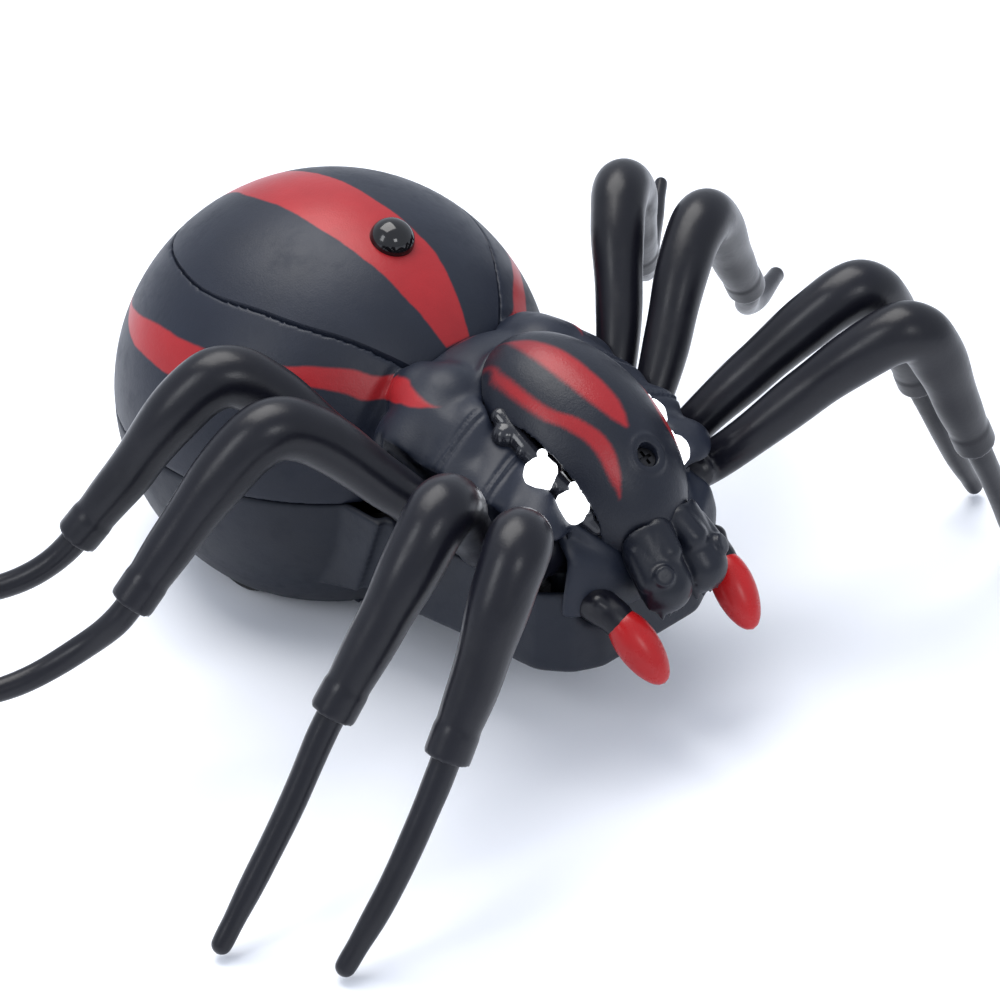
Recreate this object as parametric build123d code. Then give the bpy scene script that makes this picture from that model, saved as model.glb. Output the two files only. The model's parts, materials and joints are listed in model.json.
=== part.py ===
from build123d import *
import math
import os

os.makedirs("parts", exist_ok=True)

# Driving dimensions in mm. Heights are above the floor; y runs from the centre of
# the abdomen, front towards -y. The spider's left side is +x; its right side is the
# mirror image.
FRAME_SHIFT_Y = 34.6    # moves the finished object so that its box is centred on y = 0
BALL_R = 45.5           # abdomen
BALL_Z = 37.0
WALL = 2.2
BELLY_Z = 3.5           # flat belly under the abdomen
FLOOR_T = 1.6
SPLIT_Z = 36.5          # joint between the lower hull and the upper shell
TRAY_Z = 16.5           # underside of the tray below the thorax
TRAY_OUTLINE = [(27.5, -24), (27.5, -46), (25.5, -62), (24.0, -82), (19.5, -88), (13.5, -91)]
SKIRT_X = 29.5          # flat side panels of the lower hull

HEAD_C = (0, -71, 52.5)  # centre of the egg-shaped carapace
HEAD_SEMI = (26.0, 16.6)  # half length and radius of that egg
HEAD_TILT = 33.0        # nose down
CARAPACE_T = 1.8

COVER_POINTS = [(16, -32.8), (21, -26.5), (25.5, -19.5), (29, -10), (30.8, -1), (30.1, 7),
                (26.5, 16.5), (20.5, 25), (11.5, 31.2), (0, 33.5)]
COVER_FRONT = (10.5, -38.3)
COVER_T = 1.4

AXLE_Z = 12.5           # drive wheels
WHEEL_R = 12.5
WHEEL_X = (23.4, 28.4)
GEAR_MODULE = 0.5
COMPOUND_Z = 21.5
MOTOR_ANGLE = 30.0      # direction of the motor shaft from the compound gear
CAM_R = 2.6
CAM_OFFSET = 1.2
BAR_STROKE = 1.2

PALP_ROOT = (15.2, -90.6, 32.6)
PALP_ELBOW = (14.3, -96.2, 30.6)
FANG_TIP = (12.6, -105.8, 20.8)

PIVOT_X = 14.0          # leg pivots
BAR_X = 20.0
ARM_Z = 41.0
PIN_R = 1.5
RUN = 0.05              # radial clearance of running fits

# Leg centre lines from the pivot to the collar, then the free tip: (x, y, height).
LEG_UPPER = {
    1: [(22, -80, 41), (30, -84.5, 46), (40, -93.5, 58), (48, -102, 68), (53.5, -106.8, 71.3),
        (59, -108.8, 66), (66, -109.8, 53), (74, -110, 39)],
    2: [(22, -71, 41), (30, -73, 45.5), (40, -79.5, 57), (50, -87.3, 69), (57, -91.3, 73),
        (63.5, -92.3, 68), (72, -91.2, 56), (81.5, -89, 41.5)],
    3: [(22, -62, 41), (30, -61.5, 46), (40, -57.2, 57), (50.5, -52, 68.5), (58.5, -48.9, 72.3),
        (66, -46, 67.5), (76, -42, 55), (85.5, -38.6, 42.5)],
    4: [(22, -53, 41), (30, -51.5, 47), (40, -43.2, 60), (48, -35, 70.5), (54, -30.3, 74),
        (60.5, -26.6, 70), (69, -20.8, 57), (78.5, -14, 42.5)],
}
LEG_TIP = {
    1: [(81, -110, 27.5), (89, -109, 14.5), (96.5, -107, 3)],
    2: [(89.5, -88.4, 29), (99, -87.6, 15), (108, -87, 3)],
    3: [(93, -32.5, 33), (103, -27, 27.5), (118, -20, 25.5)],
    4: [(85.5, -9, 35), (96, -0.5, 31), (107, 8, 32), (118, 16, 36)],
}
LEG_R = [4.0, 4.2, 4.9, 5.6, 6.0, 5.7, 4.7, 3.9]
TIP_R = {3: [2.5, 2.35, 1.9], 4: [2.5, 2.35, 2.1, 1.5]}
PIVOT_Y = {1: -80.0, 2: -71.0, 3: -62.0, 4: -53.0}
HUB_Z = (37.0, 45.0)


def save(name, shape):
    moved = [Pos(0, FRAME_SHIFT_Y, 0) * solid for solid in shape.solids()]
    export_step(moved[0] if len(moved) == 1 else Compound(moved), f"parts/{name}.step")
    print(name)


def save_pair(name, shape):
    """The given solid is the left one; the right one is its mirror image."""
    save(f"{name}_left", shape)
    save(f"{name}_right", mirror(shape, about=Plane.YZ))


def box(x0, x1, y0, y1, z0, z1):
    size = (x1 - x0, y1 - y0, z1 - z0)
    return Pos((x0 + x1) / 2, (y0 + y1) / 2, (z0 + z1) / 2) * Box(*size)


def rod(p, q, r):
    """Round bar between two points."""
    axis = Vector(*q) - Vector(*p)
    return Plane(origin=p, z_dir=axis) * Cylinder(
        r, axis.length, align=(Align.CENTER, Align.CENTER, Align.MIN))


def post(x, y, z0, z1, r):
    return rod((x, y, z0), (x, y, z1), r)


def xrod(x0, x1, y, z, r):
    return rod((x0, y, z), (x1, y, z), r)


def ball(p, r):
    return Pos(*p) * Sphere(r)


def capsule(p, q, r):
    return ball(p, r) + rod(p, q, r) + ball(q, r)


def both(shape):
    return shape + mirror(shape, about=Plane.YZ)


def one(shape):
    """Largest solid of a boolean result."""
    solids = shape.solids()
    return max(solids, key=lambda s: s.volume)


def spheroid(half_length, radius):
    """Egg solid of revolution, its length along z."""
    profile = Ellipse(radius, half_length) & Pos(50, 0) * Rectangle(100, 200)
    return revolve(Plane.XZ * profile, axis=Axis.Z)


def egg(d=0.0):
    """Carapace body along the head's own axes, grown by d."""
    return Rot(90, 0, 0) * spheroid(HEAD_SEMI[0] + d, HEAD_SEMI[1] + d)


def head_frame(shape):
    """Places a shape given along the tilted axes of the carapace."""
    return Pos(*HEAD_C) * Rot(HEAD_TILT, 0, 0) * shape


def tube(points, radii, start_dir):
    """Smooth round tube of changing radius along a curve."""
    first = Vector(*points[0])
    last = Vector(*points[-1])
    flat = Vector(last.X - first.X, last.Y - first.Y, 0)
    side = flat.cross(Vector(0, 0, 1))
    end = Vector(*points[-1]) - Vector(*points[-2])
    path = Spline(*points, tangents=[start_dir.normalized(), end.normalized()])
    knots = [path.param_at_point(point) for point in points]
    rings = []
    count = 3 * len(points)
    for k in range(count):
        t = k / (count - 1)
        i = max(j for j in range(len(knots) - 1) if knots[j] <= t + 1e-9)
        f = (t - knots[i]) / (knots[i + 1] - knots[i])
        f = f * f * (3 - 2 * f)
        radius = radii[i] + f * (radii[i + 1] - radii[i])
        plane = Plane(origin=path @ t, x_dir=side, z_dir=path % t)
        rings.append(plane * Circle(radius))
    return loft(rings), path


def involute(angle):
    return math.tan(angle) - angle


def gear_face(teeth, turn):
    """Involute gear in the plane of the sheet, one tooth centred at the given angle."""
    pitch_r = GEAR_MODULE * teeth / 2
    base_r = pitch_r * math.cos(math.radians(20))
    tip_r = pitch_r + 0.85 * GEAR_MODULE
    root_r = pitch_r - 1.15 * GEAR_MODULE
    half = math.pi / (2 * teeth) - 0.035 / pitch_r + involute(math.radians(20))
    points = []
    for tooth in range(teeth):
        centre = math.radians(turn) + 2 * math.pi * tooth / teeth
        flank = [(root_r, half)]
        for step in range(5):
            r = max(base_r, root_r) + (tip_r - max(base_r, root_r)) * step / 4
            flank.append((r, half - involute(math.acos(min(1.0, base_r / r)))))
        for r, a in flank:
            points.append((r * math.cos(centre - a), r * math.sin(centre - a)))
        for r, a in reversed(flank):
            points.append((r * math.cos(centre + a), r * math.sin(centre + a)))
    return make_face(Polyline(*points, close=True))


def gear(teeth, turn, x0, x1, y, z):
    face = Plane(origin=(x0, y, z), x_dir=(0, 1, 0), z_dir=(1, 0, 0)) * gear_face(teeth, turn)
    return extrude(face, x1 - x0)


# ---------------------------------------------------------------- outline shapes

def tray(inset, z0, z1):
    """Solid with the plan of the thorax tray, drawn in by the inset."""
    right = [(x - inset, y + (inset if y < -85 else 0)) for x, y in TRAY_OUTLINE]
    left = [(-x, y) for x, y in reversed(right)]
    face = make_face(Polyline(*right, *left, close=True))
    solid = extrude(Pos(0, 0, z0) * face, z1 - z0)
    if inset == 0:
        low = [e for e in solid.edges() if e.center().Z < z0 + 0.01 and e.center().Y < -25]
        solid = fillet(low, 2.5)
    return solid


def skirt(inset):
    """Flat-sided pods beside the front of the abdomen."""
    profile = [(-16, 11 + inset), (-38 + inset, 17.5 + inset), (-45 + inset, SPLIT_Z),
               (-16, SPLIT_Z)]
    face = Plane(origin=(18, 0, 0), x_dir=(0, 1, 0), z_dir=(1, 0, 0)) * make_face(
        Polyline(*profile, close=True))
    return both(extrude(face, SKIRT_X - inset - 18))


def cover_prism(inset):
    """Upright prism with the plan of the shield-shaped abdomen cover."""
    k = 1 - inset / 31.0
    fx, fy = COVER_FRONT[0] - inset * 0.9, COVER_FRONT[1] + inset
    side = [(fx, fy)] + [(x * k, -2 + (y + 2) * k) for x, y in COVER_POINTS]
    right = Spline(*side, tangents=[(0.75, 0.66), (-1, 0)])
    left = mirror(right, about=Plane.YZ)
    front = Line((-fx, fy), (fx, fy))
    face = make_face([right, left, front])
    return extrude(Pos(0, 0, 44) * face, 46)


def ball_shell(r_out, r_in):
    return Pos(0, 0, BALL_Z) * Sphere(r_out) - Pos(0, 0, BALL_Z) * Sphere(r_in)


def eye_notch(inset):
    """Where the carapace edge arches over the eyes, one side, along the head's own axes."""
    oval = Plane(origin=(9, -3, 0), x_dir=(0, 1, 0), z_dir=(1, 0, 0)) * Ellipse(
        15.5 - inset, 8.8 - inset)
    return extrude(oval, 14)


def dome_frame(shape):
    """Places a shape standing on the abdomen where the infra-red dome is."""
    return Pos(0, 0, BALL_Z) * Rot(24.3, 0, 0) * shape


# ---------------------------------------------------------------- shells

def leg_window():
    """Space for the leg roots through their full swing, left side."""
    slope = [(21.8, 30), (21.8, 47), (23.4, 48.2), (25.4, 50.2), (27.4, 53), (29.4, 57), (36, 68),
             (42, 68), (42, 30)]
    face = Plane(origin=(0, -44.5, 0), x_dir=(1, 0, 0), z_dir=(0, -1, 0)) * make_face(
        Polyline(*slope, close=True))
    return extrude(face, 44)


def lower_hull():
    slab = box(-60, 60, -60, 60, BELLY_Z, SPLIT_Z)
    outer = (ball((0, 0, BALL_Z), BALL_R) & slab) + tray(0, TRAY_Z, SPLIT_Z) + skirt(0)
    room = box(-60, 60, -60, 60, BELLY_Z + FLOOR_T, SPLIT_Z + 4)
    inner = (ball((0, 0, BALL_Z), BALL_R - WALL) & room) + tray(1.8, TRAY_Z + 1.8, SPLIT_Z + 4)
    inner = inner + skirt(1.8)
    hull = outer - inner

    # battery bay, gear plates, motor cradles
    bay = box(-17.8, 17.8, -25.5, 25.5, BELLY_Z + 0.8, 17.7) - box(
        -16.6, 16.6, -24.3, 24.3, 0, 16.5)
    hull = hull + bay
    motor_y, motor_z = motor_centre()
    for side in (-1, 1):
        x0, x1 = sorted((side * 16.6, side * 17.8))
        plate = box(x0, x1, -8, 15, 10, 30)
        c0, c1 = sorted((side * 4, side * 14))
        cradle = box(c0, c1, motor_y - 7, motor_y + 7, 17.2, motor_z - 1)
        o0, o1 = sorted((side * 28.9, side * 30.9))
        bearing = box(o0, o1, -4, 4, BELLY_Z + 0.9, 19)
        hull = hull + plate + cradle + bearing
    for side in (-1, 1):
        hull = hull - xrod(side * 1.8, side * 16.59, motor_y, motor_z, 6.05)
        hull = hull - xrod(side * 16, side * 18, motor_y, motor_z, 1.2)
        hull = hull - xrod(side * 16.5, side * 32, 0, AXLE_Z, 1.0 + RUN)
        hull = hull - xrod(side * 16.5, side * 18, 0, COMPOUND_Z, 0.9)
        s0, s1 = sorted((side * 28.5, side * 31.2))
        hull = hull - box(s0, s1, -1.05, 1.05, AXLE_Z, 20)
        w0, w1 = sorted((side * 22.9, side * 28.9))
        hull = hull - box(w0, w1, -11.3, 11.3, 0, 7.5)

    # bosses: leg pins, caster, screws, board
    for leg, y in PIVOT_Y.items():
        hull = hull + both(post(PIVOT_X, y, TRAY_Z + 1, HUB_Z[0] - 0.3, 3.0))
    hull = hull + post(0, -50, TRAY_Z + 1, 27, 3.6)
    for x, y in [(20, 30), (0, -85)]:
        top = SPLIT_Z
        low = 8.2 if y > 0 else TRAY_Z + 1
        hull = hull + both(post(x, y, low, top, 3.4))
    hull = hull + both(post(6, -20, 17.5, 40, 2.2)) + both(post(6, 22, 17.5, 40, 2.2))
    hull = hull & (slab + tray(0, TRAY_Z, 60) + skirt(0) + box(-20, 20, -30, 30, 10, 60))

    # openings
    for leg, y in PIVOT_Y.items():
        hull = hull - both(post(PIVOT_X, y, TRAY_Z + 3.5, 60, PIN_R))
    hull = hull - post(0, -50, 0, 30, PIN_R + RUN)
    for x, y in [(20, 30), (0, -85)]:
        for s in (-1, 1):
            hull = hull - post(s * x, y, 0, 60, 1.3)
            hull = hull - post(s * x, y, 0, 20 if y > 0 else 20.5, 2.7)
    hull = hull - box(-16.6, 16.6, -24.3, 24.3, 0, 6)
    hull = hull - box(-18.4, 18.4, -26.1, 26.1, 0, BELLY_Z + 1.5)
    hull = hull - box(3.8, 11.4, -32.5, -28.2, 0, 10)
    hull = hull - both(box(18, 40, -87, -46.5, 35.4, 60))
    hull = hull - palp_sockets()
    return one(hull)


def palp_sockets():
    return both(ball(PALP_ROOT, 4.35))


def motor_centre():
    reach = GEAR_MODULE * (28 + 9) / 2
    a = math.radians(MOTOR_ANGLE)
    return reach * math.cos(a), COMPOUND_Z + reach * math.sin(a)


def thorax_mass(d):
    """Neck, shoulders and cheeks as one solid, drawn in by d on every side."""
    neck = Pos(0, -46, 43) * Rot(0, 90, 0) * spheroid(25.5 - d, 22 - d)
    chest = Pos(0, -66, 42) * spheroid(17 - d, 24.6 - d)
    solid = neck + chest
    lobes = [((13, -47, 57), (22.5, -48.5, 50), 9.0), ((14.5, -57, 56), (23, -59, 49), 7.4),
             ((15.5, -66, 52), (22.5, -69, 48.5), 6.8), ((15.5, -75, 48), (20.5, -79, 46.5), 6.6)]
    for p, q, r in lobes:
        solid = solid + both(capsule(p, q, r - d))
    cheek = make_face(Polyline((22 - d, -70), (22.5 - d, -80), (19 - d, -86), (13 - d, -91 + d),
                               (d - 13, -91 + d), (d - 19, -86), (d - 22.5, -80),
                               (d - 22, -70), close=True))
    block = extrude(Pos(0, 0, SPLIT_Z) * cheek, 9.5 - d)
    if d == 0:
        top = [e for e in block.edges() if e.center().Z > SPLIT_Z + 9]
        block = chamfer(top, 3)
    return solid + block


def upper_shell():
    above = box(-60, 60, -110, 60, SPLIT_Z, 90)
    below_rim = head_frame(box(-30, 30, -40, 40, -60, 0))
    skull = head_frame(egg(0.5)) & below_rim
    outer = ball((0, 0, BALL_Z), BALL_R) + thorax_mass(0) + skull
    lid_space = head_frame(box(-30, 30, -40, 40, -0.3, 40) & egg(0.35))
    outer = outer - lid_space
    inner = ball((0, 0, BALL_Z), BALL_R - WALL) + thorax_mass(2.0)
    brain = head_frame(egg(-1.6))
    shell = (outer - inner - brain) & above
    shell = shell - (cover_prism(0) & ball_shell(60, BALL_R - COVER_T))
    shell = shell - cover_prism(4.0)
    inside = ball((0, 0, BALL_Z), BALL_R - 0.5) + head_frame(egg(-0.8) & box(
        -30, 30, -40, 40, -60, -1))
    posts = both(post(20, 30, SPLIT_Z, 64, 3.4)) + post(0, -85, SPLIT_Z, 52, 3.4)
    posts = posts - both(post(20, 30, 0, 58, 1.3)) - post(0, -85, 0, 46, 1.3)
    shell = shell + (posts & inside)
    shell = shell - both(leg_window()) - both(box(27.5, 45, -45, -36, 44, 70))
    shell = shell - both(head_frame(eye_balls(0.3)))
    shell = shell - both(box(9, 22.5, -87, -46.5, 30, 46.9))
    return one(shell)


def abdomen_cover():
    cover = cover_prism(0.3) & ball_shell(BALL_R, BALL_R - COVER_T)
    return one(cover - dome_frame(post(0, 0, 30, 60, 4.05)))


def ir_window():
    lens = Pos(0, 0, 45.3) * scale(Sphere(4.6), by=(1, 1, 0.9))
    lens = lens & box(-6, 6, -6, 6, 45.3, 52)
    shape = lens + post(0, 0, 43.0, 45.3, 4.0) + post(0, 0, 42.4, 43.7, 5.4)
    return dome_frame(shape)


def ir_receiver():
    body = box(-3.4, 3.4, -2.6, 2.6, 36.2, 42.4)
    legs = [box(x - 0.25, x + 0.25, -0.25, 0.25, 32, 36.2) for x in (-2.2, 0, 2.2)]
    return dome_frame(body + legs[0] + legs[1] + legs[2])


def carapace():
    outer = egg()
    inner = egg(-CARAPACE_T)
    lid = (outer - inner) & box(-30, 30, -40, 40, 0, 40)
    lid = lid - both(eye_notch(0))
    boss = post(0, -11.1, 6, 14.5, 3.2)
    lid = lid + (boss & outer)
    lid = lid - post(0, -11.1, 0, 20, 1.1) - post(0, -11.1, 12.2, 20, 2.3)
    return one(head_frame(lid))


def eye_balls(d):
    """Bumps of the eyes and the small beads between them, grown by d, left side."""
    eyes = [((15.0, 9, 2.8), 2.5), ((14.4, -1.7, 4.6), 3.4), ((13.2, -10.2, 4.5), 3.3),
            ((14.2, 3.6, 4.9), 1.4), ((13.4, -4.6, 7.0), 1.2)]
    shape = ball(eyes[0][0], eyes[0][1] + d)
    for p, r in eyes[1:]:
        shape = shape + ball(p, r + d)
    return shape


def eye_lens():
    """Clear strip of three eyes for the left side of the head."""
    skin = egg(-0.5) - egg(-1.7)
    room = eye_notch(0.35) & box(0, 30, -13.8, 40, 0.8, 20)
    strip = (skin & room) + eye_balls(0)
    strip = (strip & room) - egg(-2.6)
    return one(head_frame(strip) - box(9, 19, -85, -75, 40, 47.2))


def eye_leds():
    shape = None
    for y, z in [(-1.7, 4.4), (-10.2, 4.2)]:
        led = xrod(5.5, 8.6, y, z, 1.5) + ball((8.6, y, z), 1.5) + xrod(5.5, 6.3, y, z, 1.8)
        led = head_frame(led)
        pair = Compound(children=[led, mirror(led, about=Plane.YZ)])
        shape = pair if shape is None else Compound(children=[*shape.solids(), *pair.solids()])
    return shape


def jaw_block():
    """Two chelicera lobes with round bosses and a toothed lower edge."""
    block = None
    for s in (-1, 1):
        lobe = capsule((s * 4.7, -91.5, 43.5), (s * 5.0, -98.2, 36.0), 5.2)
        lobe = lobe + rod((s * 6, -97, 38), (s * 8.3, -101.0, 41), 2.1)
        for k in range(4):
            x = s * (2.0 + 1.9 * k)
            lobe = lobe + Plane(origin=(x, -99.6, 32.4), z_dir=(0, -0.3, -1)) * Cone(
                1.1, 0.3, 2.4, align=(Align.CENTER, Align.CENTER, Align.MIN))
        block = lobe if block is None else block + lobe
    block = block + box(-5, 5, -95, -90.8, 36, 44)
    block = block - box(-40, 40, -90.9, -60, 0, 80)
    block = block - both(rod(PALP_ROOT, PALP_ELBOW, 4.5) + ball(PALP_ELBOW, 5.1))
    return one(block - head_frame(egg(0.55)))


def pedipalp():
    root, elbow = PALP_ROOT, PALP_ELBOW
    arm = ball(root, 4.3) + rod(root, elbow, 4.1)
    socket = Plane(origin=elbow, z_dir=Vector(*elbow) - Vector(*root))
    arm = arm & (Plane(origin=elbow, z_dir=Vector(*root) - Vector(*elbow)) * box(
        -9, 9, -9, 9, 0, 20))
    return one(arm - socket * Pos(0, 0, -2.5) * Cylinder(1.6, 5))


def fang():
    """Fat teardrop with a peg that enters the pedipalp."""
    elbow, tip = Vector(*PALP_ELBOW), Vector(*FANG_TIP)
    length = (tip - elbow).length
    curve = Spline((4.2, 0), (4.6, 0.25 * length), (3.9, 0.6 * length), (0, length),
                   tangents=[(0.4, 1), (-1, 0)])
    profile = make_face([curve, Line((0, length), (0, 0)), Line((0, 0), (4.2, 0))])
    drop = revolve(Plane.XZ * profile, axis=Axis.Z)
    drop = Plane(origin=elbow, z_dir=tip - elbow) * drop
    arm_dir = Vector(*PALP_ROOT) - elbow
    peg = Plane(origin=elbow, z_dir=arm_dir) * Pos(0, 0, 1.0) * Cylinder(1.6, 3.0)
    drop = drop - Plane(origin=elbow, z_dir=arm_dir) * box(-9, 9, -9, 9, 0, 9)
    return one(drop + peg)


# ---------------------------------------------------------------- legs

def leg_upper(leg):
    """Pivot hub, root arm, thigh, knee and shin down to the collar."""
    points = LEG_UPPER[leg]
    y = PIVOT_Y[leg]
    shell, path = tube(points, LEG_R, start_dir=Vector(1, 0, 0))
    end = Vector(*points[-1])
    way = (path % 1).normalized()
    limb = shell + xrod(PIVOT_X, points[0][0], y, ARM_Z, LEG_R[0])
    limb = limb + post(PIVOT_X, y, HUB_Z[0], HUB_Z[1], 4.2)
    cuff = Plane(origin=end - way * 5, z_dir=way)
    limb = limb + cuff * Cylinder(4.3, 5.6, align=(Align.CENTER, Align.CENTER, Align.MIN))
    limb = limb - cuff * Cylinder(1.7, 9, align=(Align.CENTER, Align.CENTER, Align.MIN))
    limb = limb - post(PIVOT_X, y, 30, 50, PIN_R + RUN)
    limb = limb - box(BAR_X - 2.2, BAR_X + 2.2, y - 1.08, y + 1.08, 30, 40.6)
    limb = limb - box(BAR_X - 3.5, BAR_X + 3.5, y - 8, y + 8, 30, HUB_Z[0] + 0.05)
    return one(limb)


def leg_tip(leg):
    """Thin foot with a peg inside the collar."""
    path = tube(LEG_UPPER[leg], LEG_R, start_dir=Vector(1, 0, 0))[1]
    way = (path % 1).normalized()
    start = Vector(*LEG_UPPER[leg][-1]) + way * 0.6
    points = [tuple(start)] + LEG_TIP[leg]
    radii = [2.7] + TIP_R[len(LEG_TIP[leg])]
    foot = tube(points, radii, start_dir=way)[0] + ball(points[-1], radii[-1])
    peg = Plane(origin=start - way * 4.6, z_dir=way) * Cylinder(
        1.7, 5.0, align=(Align.CENTER, Align.CENTER, Align.MIN))
    return one(foot + peg)


def swing_bar():
    """Yoke round the cam, slanted link and pin strip under the legs."""
    x0, x1 = 21.5, 22.7
    yoke = box(x0, x1, -6.9, 6.9, AXLE_Z - 5.6, AXLE_Z + 5.6)
    side = Plane(origin=(x0, 0, 0), x_dir=(0, 1, 0), z_dir=(1, 0, 0))
    link = [(-5, 9), (-5, 15), (-43, 35.3), (-47, 35.3), (-47, 31.5)]
    yoke = yoke + extrude(side * make_face(Polyline(*link, close=True)), x1 - x0)
    yoke = yoke - box(20, 24, -5.3, 5.3, AXLE_Z - 4.1, AXLE_Z + 4.1)
    strip = box(BAR_X - 1, BAR_X + 1, -81.6, -45, 33.4, 35.3)
    step = box(BAR_X - 1, x1, -47, -44.6, 33.4, 35.3)
    shape = yoke + strip + step
    for y in PIVOT_Y.values():
        shape = shape + post(BAR_X, y, 35.0, 40.0, 1.0)
    return one(shape)


def leg_pivot_pins():
    pins = []
    for y in PIVOT_Y.values():
        for s in (-1, 1):
            pins.append(post(s * PIVOT_X, y, TRAY_Z + 3.6, 46.8, PIN_R))
    return Compound(children=pins)


def leg_retainers():
    plates = []
    for s in (-1, 1):
        x0, x1 = sorted((s * 11, s * 17))
        plate = box(x0, x1, -84, -49, 45.3, 46.5)
        for y in PIVOT_Y.values():
            plate = plate - post(s * PIVOT_X, y, 40, 50, PIN_R)
        plates.append(plate)
    return Compound(children=plates)


# ---------------------------------------------------------------- drive, left side

def wheel():
    """Spoked plastic wheel with its hub."""
    x0, x1 = WHEEL_X
    rim = xrod(x0, x1, 0, AXLE_Z, 10.0) - xrod(x0 - 1, x1 + 1, 0, AXLE_Z, 8.6)
    web = xrod(x0 + 1.6, x1 - 1.6, 0, AXLE_Z, 8.8)
    hub = xrod(x0, x1, 0, AXLE_Z, 2.6)
    shape = rim + web + hub
    for k in range(5):
        a = math.radians(72 * k + 20)
        shape = shape - xrod(x0 - 1, x1 + 1, 5.6 * math.cos(a), AXLE_Z + 5.6 * math.sin(a), 1.7)
    return one(shape - xrod(x0 - 1, x1 + 1, 0, AXLE_Z, 1.0))


def tyre():
    x0, x1 = WHEEL_X
    ring = xrod(x0, x1, 0, AXLE_Z, WHEEL_R) - xrod(x0 - 1, x1 + 1, 0, AXLE_Z, 10.0)
    rims = [e for e in ring.edges().filter_by(GeomType.CIRCLE) if e.radius > WHEEL_R - 0.1]
    ring = fillet(rims, 0.8)
    for k in range(24):
        a = math.radians(15 * k + 7.5)
        y, z = (WHEEL_R + 0.2) * math.cos(a), AXLE_Z + (WHEEL_R + 0.2) * math.sin(a)
        ring = ring - xrod(x0 - 1, x1 + 1, y, z, 0.55)
    return one(ring)


def wheel_axle():
    return xrod(16.7, 31.0, 0, AXLE_Z, 1.0)


def drive_gear():
    """Gear on the wheel axle with the cam that works the yoke."""
    wheel_gear = gear(24, 90, 19.9, 21.2, 0, AXLE_Z)
    cam = xrod(21.2, 23.0, CAM_OFFSET, AXLE_Z, CAM_R)
    spacer = xrod(18.2, 19.9, 0, AXLE_Z, 1.35) + xrod(23.0, 23.4, 0, AXLE_Z, 1.9)
    shape = wheel_gear + cam + spacer
    return one(shape - xrod(17, 24, 0, AXLE_Z, 1.0))


def compound_gear():
    big = gear(28, MOTOR_ANGLE, 18.2, 19.5, 0, COMPOUND_Z)
    small = gear(12, -90 + 15, 19.5, 21.1, 0, COMPOUND_Z)
    return one(big + small - xrod(17, 22, 0, COMPOUND_Z, 0.9 + RUN))


def gear_pins():
    """Steel pins of the compound gears, with retaining heads."""
    pins = []
    for s in (-1, 1):
        pin = xrod(s * 16.7, s * 21.6, 0, COMPOUND_Z, 0.9)
        pins.append(pin + xrod(s * 21.2, s * 21.9, 0, COMPOUND_Z, 1.5))
    return Compound(children=pins)


def motor_pinion():
    y, z = motor_centre()
    pinion = gear(9, MOTOR_ANGLE + 180 + 20, 18.2, 19.5, y, z)
    return one(pinion + xrod(15.0, 18.3, y, z, 0.5))


def motor():
    y, z = motor_centre()
    can = xrod(2.6, 15.6, y, z, 6.0) & box(0, 20, y - 6, y + 6, z - 6, z + 5)
    nose = xrod(15.6, 16.5, y, z, 2.4)
    end = xrod(1.9, 2.6, y, z, 4.4)
    tabs = box(1.2, 1.9, y - 3.6, y - 2.4, z - 1, z + 1) + box(
        1.2, 1.9, y + 2.4, y + 3.6, z - 1, z + 1)
    body = can + nose + end + tabs
    return one(body - xrod(14.0, 17, y, z, 0.5 + RUN))


def axle_keepers():
    """Clips that close the outer bearing slots over the axles."""
    clips = []
    for s in (-1, 1):
        x0, x1 = sorted((s * 28.9, s * 30.9))
        clip = box(x0, x1, -1.05, 1.05, AXLE_Z, 19) + box(x0, x1, -3, 3, 19, 20)
        clips.append(clip - xrod(s * 28, s * 32, 0, AXLE_Z, 1.0 + RUN))
    return Compound(children=[one(c) for c in clips])


# ---------------------------------------------------------------- caster, battery, board

def caster_fork():
    y = -50
    top = post(0, y, 13.6, 16.2, 5.2)
    arms = both(box(3.1, 4.3, y - 2.2, y + 5.6, 4.2, 14))
    stem = post(0, y, 14, 26, PIN_R)
    groove = post(0, y, 26, 27.4, PIN_R)
    fork = top + arms + stem + groove
    for s in (-1, 1):
        fork = fork - xrod(s * 3, s * 4.4, y + 3, 6.2, 0.8)
    return one(fork)


def caster_wheel():
    y = -47
    body = xrod(-2.7, 2.7, y, 6.2, 6.2)
    rims = body.edges().filter_by(GeomType.CIRCLE)
    return one(fillet(rims, 1.2) - xrod(-4, 4, y, 6.2, 0.8 + RUN))


def caster_axle():
    return xrod(-4.7, 4.7, -47, 6.2, 0.8)


def battery_door():
    door = box(-18.1, 18.1, -25.8, 25.8, BELLY_Z, BELLY_Z + 1.4)
    for k in range(5):
        door = door - box(-7, 7, -22 + 2.4 * k, -21 + 2.4 * k, 0, BELLY_Z + 0.5)
    door = door + box(-15, 15, -24.0, -23.0, BELLY_Z + 1.4, 6.6)
    door = door + box(-15, 15, 23.0, 24.0, BELLY_Z + 1.4, 6.6)
    return one(door)


def batteries():
    cells = []
    for k, x in enumerate((-10.9, 0, 10.9)):
        d = 1 if k % 2 else -1
        cell = rod((x, -21.6, 10.9), (x, 21.6, 10.9), 5.2)
        cell = cell + rod((x, 0, 10.9), (x, d * 22.5, 10.9), 1.9)
        cells.append(cell)
    return Compound(children=cells)


def battery_contacts():
    plates = []
    for x in (-10.9, 0, 10.9):
        for s in (-1, 1):
            y0, y1 = sorted((s * 23.6, s * 24.3))
            plates.append(box(x - 4, x + 4, y0, y1, 7.5, 15))
    return Compound(children=plates)


def pcb():
    board = box(-17, 17, -24, 25, 40, 41.6)
    chip = box(-5, 5, -8, 2, 41.6, 43.6)
    caps = post(9, 12, 41.6, 49, 2.5) + post(-9, 14, 41.6, 49, 2.5)
    crystal = box(8, 12, -12, -4, 41.6, 44.6)
    return one(board + chip + caps + crystal)


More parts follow.
